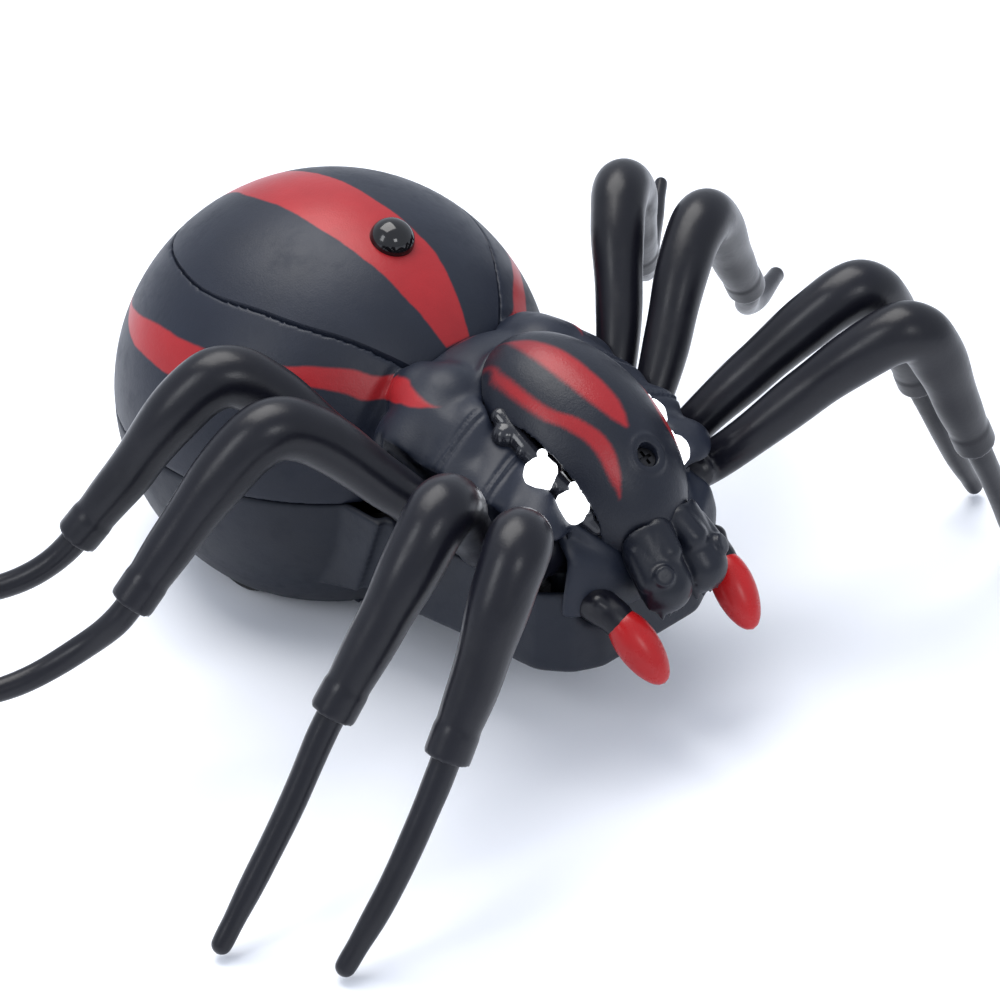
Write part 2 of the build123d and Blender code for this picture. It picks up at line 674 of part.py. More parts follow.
def switch_knob():
    knob = box(4.2, 7.2, -32.0, -28.7, BELLY_Z + 0.2, 6.6)
    return one(knob + box(4.2, 7.2, -31.8, -28.9, 6.0, 7.5))


def case_screws():
    screws = []
    for x, y, z in [(-20, 30, 20), (20, 30, 20), (0, -85, 20.5)]:
        body = post(x, y, z, SPLIT_Z + 8, 1.3) + post(x, y, z - 1.6, z, 2.6)
        slot = box(x - 0.4, x + 0.4, y - 1.6, y + 1.6, z - 2, z - 1)
        cross = box(x - 1.6, x + 1.6, y - 0.4, y + 0.4, z - 2, z - 1)
        screws.append(one(body - slot - cross))
    return Compound(children=screws)


def carapace_screw():
    body = post(0, -11.1, 4.5, 12.2, 1.1) + post(0, -11.1, 12.2, 13.4, 2.1)
    body = body - box(-0.35, 0.35, -12.6, -9.6, 12.8, 14) - box(-1.5, 1.5, -11.45, -10.75, 12.8, 14)
    return head_frame(one(body))


if __name__ == "__main__":
    save("lower_hull", lower_hull())
    save("upper_shell", upper_shell())
    save("abdomen_cover", abdomen_cover())
    save("ir_window", ir_window())
    save("ir_receiver", ir_receiver())
    save("carapace", carapace())
    save("carapace_screw", carapace_screw())
    save("case_screws", case_screws())
    save_pair("eye_lens", eye_lens())
    save("eye_leds", eye_leds())
    save("jaw_block", jaw_block())
    save_pair("pedipalp", pedipalp())
    save_pair("fang", fang())
    for number in LEG_UPPER:
        save_pair(f"leg{number}_upper", leg_upper(number))
        save_pair(f"leg{number}_tip", leg_tip(number))
    save("leg_pivot_pins", leg_pivot_pins())
    save("leg_retainers", leg_retainers())
    save_pair("swing_bar", swing_bar())
    save_pair("wheel", wheel())
    save_pair("tyre", tyre())
    save_pair("wheel_axle", wheel_axle())
    save_pair("drive_gear", drive_gear())
    save_pair("compound_gear", compound_gear())
    save_pair("motor_pinion", motor_pinion())
    save_pair("motor", motor())
    save("gear_pins", gear_pins())
    save("axle_keepers", axle_keepers())
    save("caster_fork", caster_fork())
    save("caster_wheel", caster_wheel())
    save("caster_axle", caster_axle())
    save("battery_door", battery_door())
    save("batteries", batteries())
    save("battery_contacts", battery_contacts())
    save("pcb", pcb())
    save("switch_knob", switch_knob())
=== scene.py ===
import json
import math

import bmesh
import bpy
import numpy as np
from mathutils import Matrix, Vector


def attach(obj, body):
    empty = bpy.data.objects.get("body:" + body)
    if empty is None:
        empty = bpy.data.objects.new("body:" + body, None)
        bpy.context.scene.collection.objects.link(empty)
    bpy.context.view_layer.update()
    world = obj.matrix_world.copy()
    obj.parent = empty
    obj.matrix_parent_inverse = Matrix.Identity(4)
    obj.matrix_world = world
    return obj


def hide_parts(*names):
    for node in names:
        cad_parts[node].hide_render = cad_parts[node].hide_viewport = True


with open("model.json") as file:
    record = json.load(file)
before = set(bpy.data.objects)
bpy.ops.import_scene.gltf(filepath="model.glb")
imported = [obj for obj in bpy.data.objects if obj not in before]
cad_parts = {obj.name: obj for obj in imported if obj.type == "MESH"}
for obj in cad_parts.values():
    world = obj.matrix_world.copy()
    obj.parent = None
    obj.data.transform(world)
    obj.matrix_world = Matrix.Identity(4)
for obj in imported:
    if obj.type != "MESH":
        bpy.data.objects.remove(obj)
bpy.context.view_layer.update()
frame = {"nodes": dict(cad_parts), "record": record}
NODES = frame["nodes"]
BODY_OF = {n: b for b, ns in frame["record"]["behaviour"]["bodies"].items() for n in ns}

SHIFT_Y = 34.6                      # mm from the drawing's origin to the frame's
BALL_Z, BALL_R = 37.0, 45.5         # abdomen centre height and radius, mm
HEAD_C = (0.0, -71.0, 52.5)          # centre of the head's egg shape, mm
TILT = math.radians(33)             # how far the head looks down
TILT_COS, TILT_SIN = math.cos(TILT), math.sin(TILT)
LEG_WALL, LEG_FRONT, LEG_REAR = 21.6, -85.4, -44.6     # inner wall and ends of the leg openings, mm
LEG_ROOF = ((21.6, 23.2, 25.2, 27.2, 29.2, 36), (47.2, 48.5, 50.5, 53.3, 57.3, 68.3))   # x, then z
SHOULDER_WALL = 27.0                # widest skin behind the leg openings, mm


def new_object(name, data):
    o = bpy.data.objects.new(name, data)
    bpy.context.scene.collection.objects.link(o)
    return o


def mesh_from(bm, name):
    me = bpy.data.meshes.new(name)
    bm.to_mesh(me)
    bm.free()
    return me


# ------------------------------------------------------------------ node helpers

class Tree:
    """Builds one material's nodes; sockets are passed around as values."""

    def __init__(self, name):
        self.mat = bpy.data.materials.new(name)
        self.mat.use_nodes = True
        self.nt = self.mat.node_tree
        self.nt.nodes.clear()
        self.out = self.nt.nodes.new("ShaderNodeOutputMaterial")
        self.bsdf = self.nt.nodes.new("ShaderNodeBsdfPrincipled")
        self.nt.links.new(self.bsdf.outputs[0], self.out.inputs["Surface"])

    def node(self, kind, ins=None, **props):
        n = self.nt.nodes.new(kind)
        for k, v in props.items():
            setattr(n, k, v)
        for k, v in (ins or {}).items():
            self.put(n.inputs[k], v)
        return n

    def put(self, socket, v):
        if isinstance(v, bpy.types.NodeSocket):
            self.nt.links.new(v, socket)
        else:
            socket.default_value = v

    def math(self, op, a, b=None, c=None, clamp=False):
        n = self.node("ShaderNodeMath", operation=op, use_clamp=clamp)
        for i, v in enumerate((a, b, c)):
            if v is not None:
                self.put(n.inputs[i], v)
        return n.outputs[0]

    def part_mm(self):
        """Object position in mm, from the drawing's origin: x, y, z sockets."""
        co = self.node("ShaderNodeTexCoord").outputs["Object"]
        s = self.node("ShaderNodeSeparateXYZ", {0: co})
        x = self.math("MULTIPLY", s.outputs[0], 1000.0)
        y = self.math("MULTIPLY_ADD", s.outputs[1], 1000.0, -SHIFT_Y)
        z = self.math("MULTIPLY", s.outputs[2], 1000.0)
        return co, x, y, z

    def curve(self, v, points):
        """Piecewise value of v through (v, value) points, straight between them."""
        v0, v1 = points[0][0], points[-1][0]
        top = max(p[1] for p in points)
        low = min(0.0, min(p[1] for p in points))
        n = self.node("ShaderNodeFloatCurve")
        t = self.node("ShaderNodeMapRange", {0: v, 1: v0, 2: v1, 3: 0.0, 4: 1.0}).outputs[0]
        self.put(n.inputs["Value"], t)
        c = n.mapping.curves[0]
        while len(c.points) > 2:
            c.points.remove(c.points[1])
        pts = [((a - v0) / (v1 - v0), (b - low) / (top - low)) for a, b in points]
        c.points[0].location = pts[0]
        c.points[1].location = pts[-1]
        for p in pts[1:-1]:
            c.points.new(*p)
        n.mapping.update()
        return self.math("MULTIPLY_ADD", n.outputs[0], top - low, low)

    def step(self, v, a, b):
        """0 below a, 1 above b, smooth between."""
        return self.node("ShaderNodeMapRange", {0: v, 1: a, 2: b, 3: 0.0, 4: 1.0},
                         interpolation_type="SMOOTHSTEP").outputs[0]

    def noise(self, co, scale, detail=2.0, rough=0.5):
        return self.node("ShaderNodeTexNoise", {"Vector": co, "Scale": scale, "Detail": detail,
                                                "Roughness": rough}).outputs[0]

    def mix(self, f, a, b):
        n = self.node("ShaderNodeMix", data_type="RGBA")
        for i, v in ((0, f), (6, a), (7, b)):
            self.put(n.inputs[i], v if isinstance(v, bpy.types.NodeSocket) or i == 0 else (*v, 1.0))
        return n.outputs[2]

    def set(self, **kw):
        for k, v in kw.items():
            self.put(self.bsdf.inputs[k.replace("_", " ")], v)


def shade(colour, f):
    return tuple(min(1.0, c * f) for c in colour)


def moulded(name, colour, rough, peel, paint=None, red_rough=0.36):
    """Moulded plastic: orange peel, uneven gloss, faint scuffs, and an optional painted pattern."""
    t = Tree(name)
    co, x, y, z = t.part_mm()
    fine = t.noise(co, 2600.0, 2.0, 0.55)
    broad = t.noise(co, 650.0, 3.0, 0.5)
    cloud = t.noise(co, 42.0, 3.0, 0.55)
    scuff = t.noise(co, 190.0, 5.0, 0.7)
    base = t.mix(t.step(cloud, 0.3, 0.7), shade(colour, 0.88), shade(colour, 1.12))
    rougher = t.math("MULTIPLY_ADD", t.step(scuff, 0.42, 0.78), 0.12, rough)
    if paint:
        mask = paint(t, co, x, y, z)
        worn = t.math("MULTIPLY_ADD", t.step(scuff, 0.3, 0.75), 0.25, 0.0)
        red = t.mix(t.step(cloud, 0.25, 0.75), (0.25, 0.010, 0.014), (0.32, 0.015, 0.019))
        red = t.mix(worn, red, (0.20, 0.008, 0.011))
        base = t.mix(mask, base, red)
        rougher = t.node("ShaderNodeMix", {0: mask, 2: rougher, 3: red_rough},
                         data_type="FLOAT").outputs[0]
    t.set(Base_Color=base, Roughness=rougher, Specular_IOR_Level=0.30)
    height = t.math("MULTIPLY_ADD", broad, 0.6, t.math("MULTIPLY", fine, 0.4))
    bump = t.node("ShaderNodeBump", {"Strength": peel, "Distance": 0.00012, "Height": height})
    t.put(t.bsdf.inputs["Normal"], bump.outputs[0])
    return t.mat


def plain(name, colour, rough, metallic=0.0, scale=900.0, bump=0.15, **extra):
    """A simpler part's material: uneven colour and gloss, and a fine surface grain."""
    t = Tree(name)
    co = t.node("ShaderNodeTexCoord").outputs["Object"]
    a, b = t.noise(co, scale, 3.0, 0.6), t.noise(co, scale / 9, 3.0, 0.5)
    t.set(Base_Color=t.mix(t.step(b, 0.3, 0.7), shade(colour, 0.9), shade(colour, 1.1)),
          Roughness=t.math("MULTIPLY_ADD", t.step(a, 0.3, 0.8), 0.14, rough),
          Metallic=metallic, **extra)
    n = t.node("ShaderNodeBump", {"Strength": bump, "Distance": 0.0001, "Height": a})
    t.put(t.bsdf.inputs["Normal"], n.outputs[0])
    return t.mat


def ball_paint(t, co, x, y, z):
    """Red stripe along the top of the abdomen, and a band round each side."""
    wob = t.math("MULTIPLY_ADD", t.noise(co, 160.0, 3.0, 0.6), 0.9, -0.45)
    zr = t.math("SUBTRACT", z, BALL_Z)
    theta = t.math("MULTIPLY", t.math("ARCTAN2", y, zr), 180 / math.pi)
    off = t.curve(theta, [(-58, -0.3), (-34, -0.4), (-26, -1.0), (-17, -1.8), (-4, -2.5),
                          (12, -2.4), (32, -0.4), (60, 0.0)])
    w = t.curve(theta, [(-58, 2.8), (-54, 3.5), (-45, 5.0), (-38, 6.2), (-28, 7.2), (-17, 7.5),
                        (12, 7.3), (31, 5.6), (45, 3.4), (56, 0.8), (62, 0.0)])
    ax = t.math("ABSOLUTE", t.math("SUBTRACT", x, off))
    top = t.step(t.math("SUBTRACT", t.math("ADD", w, wob), ax), -0.25, 0.35)
    top = t.math("MULTIPLY", top, t.step(theta, -56.0, -55.2))
    top = t.math("MULTIPLY", top, t.step(zr, 8.0, 12.0))
    cz = t.curve(y, [(-56, 62.2), (-51, 62.2), (-48, 62.1), (-44, 61.9), (-41.3, 61.35),
                     (-38, 59.9), (-35.8, 58.65), (-30.6, 60.6), (-24.6, 61.5), (-20, 60.9),
                     (3, 59.0), (10, 58.8), (20, 57.4), (34, 56.0)])
    hw = t.curve(y, [(-56, 0.0), (-52, 0.0), (-51, 0.15), (-48, 0.65), (-44, 1.4), (-41.3, 2.1),
                     (-38, 2.2), (-35.8, 1.9), (-30.6, 1.8), (-24.6, 1.6), (-18, 2.2),
                     (3, 3.3), (10, 3.1), (20, 2.1), (28, 0.6), (34, 0.0)])
    dz = t.math("ABSOLUTE", t.math("SUBTRACT", z, cz))
    side = t.step(t.math("SUBTRACT", t.math("MULTIPLY_ADD", wob, 0.7, hw), dz), -0.3, 0.3)
    side = t.math("MULTIPLY", side, t.step(t.math("ABSOLUTE", x), 11.0, 13.0))
    side = t.math("MULTIPLY", side, t.step(y, -53.0, -51.5))
    return t.math("MAXIMUM", top, side, clamp=True)


def head_paint(t, co, x, y, z):
    """Airbrushed stripes on the head: one down the middle, one down each side."""
    py, pz = t.math("SUBTRACT", y, HEAD_C[1]), t.math("SUBTRACT", z, HEAD_C[2])
    along = t.math("ADD", t.math("MULTIPLY", py, TILT_COS), t.math("MULTIPLY", pz, TILT_SIN))
    grain = t.math("MULTIPLY_ADD", t.noise(co, 1900.0, 3.0, 0.7), 1.1, -0.55)
    wob = t.math("MULTIPLY_ADD", t.noise(co, 150.0, 3.0, 0.6), 0.8, -0.4)
    off = t.curve(along, [(-6, -1.2), (0, -1.5), (6, -2.1), (12, -2.6), (20, -3.0), (24, -3.2)])
    w = t.curve(along, [(-6, 0.0), (-4.4, 0.5), (-1, 2.0), (5, 2.9), (12, 2.9), (19, 2.1),
                        (23, 0.6), (24, 0.0)])
    mid = t.math("ABSOLUTE", t.math("SUBTRACT", x, off))
    mid = t.math("SUBTRACT", t.math("ADD", t.math("MULTIPLY_ADD", grain, 0.5, w), wob), mid)
    mid = t.math("MULTIPLY", t.step(mid, -0.7, 0.8), t.step(along, -5.5, -4.4))
    q = t.math("MAXIMUM", t.math("MULTIPLY", x, -1.0), t.math("SUBTRACT", x, 3.4))
    cx = t.curve(along, [(-16, 8.7), (-14.2, 8.4), (-11, 7.9), (-5.4, 7.5), (0.6, 9.0), (8, 11.4),
                         (17.6, 10.5), (21, 8.8), (23, 8.0)])
    hw = t.curve(along, [(-16, 0.0), (-14.6, 0.1), (-11, 0.95), (-5.4, 1.35), (0.6, 1.25), (8, 0.8),
                         (17.6, 0.6), (21.4, 0.1), (23, 0.0)])
    d = t.math("ABSOLUTE", t.math("SUBTRACT", q, cx))
    side = t.step(t.math("SUBTRACT", t.math("MULTIPLY_ADD", grain, 0.5, hw), d), -0.6, 0.5)
    side = t.math("MULTIPLY", side, t.step(along, -15.5, -14.5))
    fade = t.step(along, 25.0, 12.0)
    both = t.math("MAXIMUM", mid, side, clamp=True)
    return t.math("MULTIPLY", both, t.math("MULTIPLY_ADD", fade, 0.45, 0.5))


CHARCOAL = (0.0085, 0.0115, 0.0215)
M = {
    "shell": moulded("shell_plastic", CHARCOAL, 0.43, 0.45, paint=ball_paint),
    "head": moulded("head_plastic", (0.0075, 0.0095, 0.017), 0.38, 0.6, paint=head_paint,
                    red_rough=0.32),
    "hull": moulded("hull_plastic", (0.007, 0.0095, 0.017), 0.50, 0.4),
    "leg": moulded("leg_plastic", (0.0050, 0.0052, 0.0090), 0.29, 0.28),
    "jaw": moulded("jaw_plastic", (0.0065, 0.008, 0.014), 0.33, 0.4),
    "red": moulded("red_lacquer", (0.36, 0.009, 0.011), 0.27, 0.15),
    "dome": plain("black_window", (0.004, 0.004, 0.005), 0.05, scale=300.0, bump=0.03),
    "steel": plain("steel_pin", (0.55, 0.55, 0.57), 0.28, metallic=1.0),
    "screw": plain("dark_screw", (0.035, 0.035, 0.038), 0.35, metallic=1.0),
    "nylon": plain("nylon_gear", (0.78, 0.77, 0.72), 0.45),
    "bar": plain("black_nylon", (0.012, 0.012, 0.014), 0.45),
    "rubber": plain("tyre_rubber", (0.016, 0.016, 0.017), 0.75, bump=0.5),
    "motor": plain("motor_can", (0.52, 0.52, 0.54), 0.3, metallic=1.0),
    "brass": plain("brass_pinion", (0.62, 0.46, 0.18), 0.3, metallic=1.0),
    "cell": plain("battery_sleeve", (0.10, 0.13, 0.30), 0.3),
    "nickel": plain("nickel_contact", (0.7, 0.69, 0.66), 0.2, metallic=1.0),
    "board": plain("circuit_board", (0.02, 0.14, 0.05), 0.4),
    "lens": plain("clear_lens", (0.75, 0.78, 0.84), 0.08, bump=0.05, Transmission_Weight=0.8),
    "eye_base": plain("smoked_lens", (0.012, 0.013, 0.018), 0.12, scale=500.0, bump=0.35),
}


def lit(name):
    """White light-emitting eye, its glow uneven in patches."""
    t = Tree(name)
    co = t.node("ShaderNodeTexCoord").outputs["Object"]
    a = t.noise(co, 700.0, 3.0, 0.6)
    t.set(Base_Color=t.mix(a, (0.85, 0.88, 0.95), (1.0, 1.0, 1.0)), Roughness=0.2,
          Emission_Color=(0.93, 0.96, 1.0, 1.0),
          Emission_Strength=t.math("MULTIPLY_ADD", a, 1.2, 1.4))
    return t.mat


M["lit"] = lit("lit_eye")

# material slot to look, and the nodes whose look differs from their slot's
LOOK = {"shell_black": "hull", "leg_black": "leg", "red_paint": "red", "dome_black": "dome",
        "lens_clear": "lens", "led": "lit", "steel": "steel", "gear_white": "nylon",
        "tyre_rubber": "rubber", "motor_metal": "motor", "brass": "brass", "battery_skin": "cell",
        "contact_metal": "nickel", "board": "board"}
SPECIAL = {"swing_bar_left": "bar", "swing_bar_right": "bar", "upper_shell": "shell",
           "abdomen_cover": "shell", "carapace": "head", "jaw_block": "jaw",
           "carapace_screw": "screw", "case_screws": "screw"}


def wear(obj, mat):
    obj.data.materials.clear()
    obj.data.materials.append(mat)


for row in frame["record"]["subparts"]:
    n = row["node"]
    for slot in NODES[n].material_slots:
        slot.material = M[SPECIAL.get(n, LOOK[row["material_slot"]])]


# ------------------------------------------------------------------ sculpting in mm

class Clay:
    """Closed shapes gathered in drawing millimetres, fused into one skin, smoothed and tooled."""

    def __init__(self):
        self.bm = bmesh.new()

    def node(self, name):
        """Adds a copy of a CAD node's mesh."""
        self.bm.from_mesh(NODES[name].data)
        return self

    def blob(self, at, radius, detail=2):
        """A ball at a drawing position; it only feeds the fused skin."""
        got = bmesh.ops.create_icosphere(self.bm, subdivisions=detail, radius=radius / 1000)
        bmesh.ops.translate(self.bm, verts=got["verts"], vec=to_frame(at))
        return self

    def sweep(self, points, radii, gap=0.6):
        """Balls close together along a line of points."""
        for (p, q), (r0, r1) in zip(zip(points, points[1:]), zip(radii, radii[1:])):
            p, q = np.array(p, float), np.array(q, float)
            n = max(1, int(np.linalg.norm(q - p) / gap))
            for i in range(n):
                f = i / n
                self.blob(p + (q - p) * f, r0 + (r1 - r0) * f)
        return self.blob(points[-1], radii[-1])

    def skin(self, name, voxel):
        """One closed surface round everything gathered, with faces about voxel mm across."""
        me = mesh_from(self.bm, name)
        o = new_object(name, me)
        m = o.modifiers.new("fuse", "REMESH")
        m.mode, m.voxel_size = "VOXEL", voxel / 1000
        dg = bpy.context.evaluated_depsgraph_get()
        fused = bpy.data.meshes.new_from_object(o.evaluated_get(dg))
        o.modifiers.clear()
        o.data = fused
        bpy.data.meshes.remove(me)
        fused.name = name
        return o


def to_frame(p):
    """Drawing millimetres to the frame's metres."""
    return Vector((p[0] / 1000, (p[1] + SHIFT_Y) / 1000, p[2] / 1000))


def points_of(me):
    """Vertex positions in drawing millimetres."""
    co = np.empty(len(me.vertices) * 3)
    me.vertices.foreach_get("co", co)
    return co.reshape(-1, 3) * 1000 - (0, SHIFT_Y, 0)


def put_points(me, p):
    me.vertices.foreach_set("co", ((p + (0, SHIFT_Y, 0)) / 1000).ravel())
    me.update()


def normals_of(me):
    n = np.empty(len(me.vertices) * 3)
    me.vertex_normals.foreach_get("vector", n)
    return n.reshape(-1, 3)


def relax(me, steps, weight=None):
    """Smooths by moving each point towards its neighbours' mean; weight 0..1 per point."""
    p = points_of(me)
    e = np.empty(len(me.edges) * 2, int)
    me.edges.foreach_get("vertices", e)
    a, b = e.reshape(-1, 2).T
    both, other = np.concatenate([a, b]), np.concatenate([b, a])
    deg = np.bincount(both, minlength=len(p))[:, None]
    w = 0.5 if weight is None else 0.5 * weight(p)[:, None]
    for _ in range(steps):
        mean = np.stack([np.bincount(both, p[other, k], len(p)) for k in range(3)], 1) / deg
        p = p + w * (mean - p)
    put_points(me, p)


def ramp(v, a, b):
    t = np.clip((v - a) / (b - a), 0, 1)
    return t * t * (3 - 2 * t)


def line_distance(p, line):
    """Distance from points to a polyline."""
    best = np.full(len(p), 1e9)
    line = np.array(line, float)
    for a, b in zip(line, line[1:]):
        d = b - a
        t = np.clip(((p - a) @ d) / (d @ d), 0, 1)
        best = np.minimum(best, np.linalg.norm(p - a - t[:, None] * d, axis=1))
    return best


def tool(me, strokes):
    """Presses grooves (negative) or raises beads along mirrored lines: (line, width, depth)."""
    p, n = points_of(me), normals_of(me)
    q = p * np.where(p[:, :1] > 0, (-1, 1, 1), (1, 1, 1))
    push = np.zeros(len(p))
    for line, width, depth in strokes:
        push += depth * np.exp(-(line_distance(q, line) / width) ** 2)
    put_points(me, p + n * push[:, None])


def finish_piece(o, mat, node):
    """Shades, paints and hands over a piece that stands in for a CAD node."""
    for f in o.data.polygons:
        f.use_smooth = True
    wear(o, M[mat])
    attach(o, BODY_OF[node])
    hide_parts(node)
    return o


def head_point(x, along, out):
    """A point given in the head's own tilted directions."""
    return (HEAD_C[0] + x, HEAD_C[1] + along * TILT_COS - out * TILT_SIN,
            HEAD_C[2] + along * TILT_SIN + out * TILT_COS)


def mirrored(points, side):
    return [(side * x, y, z) for x, y, z in points]


def clear_legs(p):
    """Keeps the skin out of the space that the leg roots swing in."""
    x, y, z = np.abs(p[:, 0]), p[:, 1], p[:, 2]
    roof = np.interp(x, *LEG_ROOF)
    inside = (x > LEG_WALL) & (z < roof) & (y < LEG_REAR) & (y > LEG_FRONT) & (z > 30)
    up = inside & (roof - z < (x - LEG_WALL) * 1.5)
    inward = inside & ~up
    rear = (x > SHOULDER_WALL) & (z > 43.5) & (z < 70) & (y >= LEG_REAR) & (y < -36)
    q = p.copy()
    q[up, 2] = roof[up]
    q[inward, 0] = np.sign(p[inward, 0]) * LEG_WALL
    q[rear, 0] = np.sign(p[rear, 0]) * SHOULDER_WALL
    return q


# rows of points from the cheek's top edge down to its foot, each from the side to the middle
CHEEK = [[(-16.2, -78.5, 47.2), (-14.4, -83.0, 44.2), (-11.0, -88.3, 41.0),
          (-6.0, -91.2, 38.8), (0, -91.8, 38.0)],
         [(-19.0, -86.9, 42.6), (-16.6, -88.0, 41.6), (-12.2, -90.4, 39.8),
          (-6.0, -91.8, 37.2), (0, -92.2, 36.4)],
         [(-20.6, -87.2, 37.0), (-17.6, -88.8, 36.6), (-12.8, -91.0, 35.4),
          (-6.0, -92.0, 33.2), (0, -92.2, 32.4)],
         [(-20.8, -86.9, 31.6), (-18.4, -88.5, 31.2), (-12.9, -90.8, 30.6),
          (-6.0, -91.2, 30.2), (0, -91.2, 30.0)]]
CHEEK_STEP, CHEEK_BALL = 1.1, 1.25          # mm between the balls, and their radius
# lines and radii of the lumps over the leg roots, left side
SHOULDER = [([(14, -43, 57.5), (17, -48, 56.4), (17.5, -53.5, 54.6)], [8.0, 7.8, 7.6]),
            ([(21, -46, 52.0), (20.6, -54, 51.4)], [8.0, 7.4]),
            ([(15.5, -61.5, 53.2), (16, -67.5, 51.4)], [6.9, 6.4]),
            ([(21, -61.6, 50.6), (21, -68.0, 49.4)], [6.4, 6.0]),
            ([(16.5, -73, 49.3), (20.4, -75.5, 48.0)], [5.7, 5.2])]
EYELID = [head_point(14.6, -12.6, 1.6), head_point(13.2, -15.6, 1.2),
          head_point(11.4, -18.8, 0.6), head_point(8.8, -21.6, 0.2)]
# double seams across the shoulders: y at x 20, slope, and the heights between which they run
SEAMS = [(-59.4, 0.05, 50, 65), (-70.2, -0.18, 47, 60)]
SEAM_GAP = 0.62                             # mm from a seam's middle to each of its two lines


def cheek(clay, side):
    """Fills the cheek's panels with small balls."""
    for r0, r1 in zip(CHEEK, CHEEK[1:]):
        for k in range(len(r0) - 1):
            a, b, c, d = (np.array(corner, float) * (side, 1, 1)
                          for corner in (r0[k], r0[k + 1], r1[k], r1[k + 1]))
            nu = int(max(np.linalg.norm(b - a), np.linalg.norm(d - c)) / CHEEK_STEP) + 1
            nv = int(max(np.linalg.norm(c - a), np.linalg.norm(d - b)) / CHEEK_STEP) + 1
            for u in (i / nu for i in range(nu + 1)):
                for v in (j / nv for j in range(nv + 1)):
                    at = (a * (1 - u) + b * u) * (1 - v) + (c * (1 - u) + d * u) * v
                    clay.blob(at, CHEEK_BALL, 1)


def above_ball(p):
    """How far points are outside the abdomen's ball, mm."""
    return np.linalg.norm(p - (0, 0, BALL_Z), axis=1) - BALL_R


def neck(p):
    """1 on the shoulders, 0 on the abdomen's ball."""
    return ramp(p[:, 1], -33, -42) * ramp(above_ball(p), -1.0, -0.2)


def body_skin():
    """Upper shell: abdomen, fused shoulders with moulded seams, and the cheeks under the eyes."""
    clay = Clay().node("upper_shell")
    for side in (1, -1):
        cheek(clay, side)
        clay.sweep(mirrored(EYELID, side), [1.6, 1.9, 1.9, 1.6])
        for line, radii in SHOULDER:
            clay.sweep(mirrored(line, side), radii)
    o = clay.skin("body_skin", 0.5)
    relax(o.data, 3)
    relax(o.data, 14, neck)
    put_points(o.data, clear_legs(points_of(o.data)))
    relax(o.data, 9, neck)
    p, n = points_of(o.data), normals_of(o.data)
    x, y, z = np.abs(p[:, 0]), p[:, 1], p[:, 2]
    push = np.zeros(len(p))
    for y0, slope, z0, z1 in SEAMS:
        q = y - (y0 + slope * (x - 20))
        mask = ramp(x, 15.0, 17.0) * ramp(z, z0, z0 + 2) * ramp(z, z1 + 1, z1 - 1)
        mask = mask * (n[:, 2] > -0.2)
        for g in (-SEAM_GAP, SEAM_GAP):
            push -= 0.5 * np.exp(-((q - g) / 0.34) ** 2) * mask
        push += 0.3 * np.exp(-(q / 0.36) ** 2) * mask
    crease = ramp(x, 12, 16) * ramp(z, 43, 47) * ramp(y, -34, -36)
    push -= 0.55 * np.exp(-((above_ball(p) - 0.1) / 0.5) ** 2) * crease
    push += 0.4 * np.exp(-((above_ball(p) - 1.5) / 0.6) ** 2) * crease
    put_points(o.data, p + n * push[:, None])
    relax(o.data, 1)
    return finish_piece(o, "shell", "upper_shell")


def hull_skin():
    """Lower hull with soft moulded corners."""
    o = Clay().node("lower_hull").skin("hull_skin", 0.6)
    relax(o.data, 2)
    relax(o.data, 14, lambda p: ramp(p[:, 1], -58, -72) * ramp(p[:, 2], 60, 16))
    return finish_piece(o, "hull", "lower_hull")


SCREW_ALONG = -11.1                 # where the head's screw hole is, mm along the head


def head_skin():
    """Head carapace with a raised ring round its screw hole."""
    o = Clay().node("carapace").skin("head_skin", 0.32)
    relax(o.data, 4)
    p, n = points_of(o.data), normals_of(o.data)
    y, z = p[:, 1] - HEAD_C[1], p[:, 2] - HEAD_C[2]
    along, out = y * TILT_COS + z * TILT_SIN, z * TILT_COS - y * TILT_SIN
    r = np.hypot(p[:, 0], along - SCREW_ALONG)
    ring = 0.3 * np.exp(-((r - 3.5) / 0.7) ** 2) * (out > 10)
    put_points(o.data, p + n * ring[:, None])
    return finish_piece(o, "head", "carapace")


def jaw_skin():
    """The two jaw lobes, fused, with a groove pressed down between them and another along the chin
    roll.
    """
    clay = Clay().node("jaw_block")
    for side in (1, -1):
        clay.sweep([(side * 3.0, -93.4, 45.2), (side * 3.6, -97.0, 42.4)], [3.4, 3.2])
        clay.sweep([(side * 8.0, -93.6, 42.6), (side * 8.6, -97.6, 38.6)], [2.6, 2.9])
        clay.sweep([(side * 1.8, -98.6, 34.2), (side * 8.2, -98.4, 33.6)], [2.0, 1.8])
    o = clay.skin("jaw_skin", 0.32)
    relax(o.data, 12)
    tool(o.data, [([(-0.2, -95.0, 49.0), (-0.2, -100, 43.5), (-0.2, -103.6, 37.5)], 0.8, -0.5),
                  ([(-1.0, -100.4, 34.8), (-9.0, -99.8, 34.6)], 0.5, -0.6)])
    return finish_piece(o, "jaw", "jaw_block")


def limb_skin(node):
    """A leg moulding with its edges softened as a mould leaves them."""
    o = Clay().node(node).skin(node + "_skin", 0.42)
    relax(o.data, 5)
    return finish_piece(o, "leg", node)


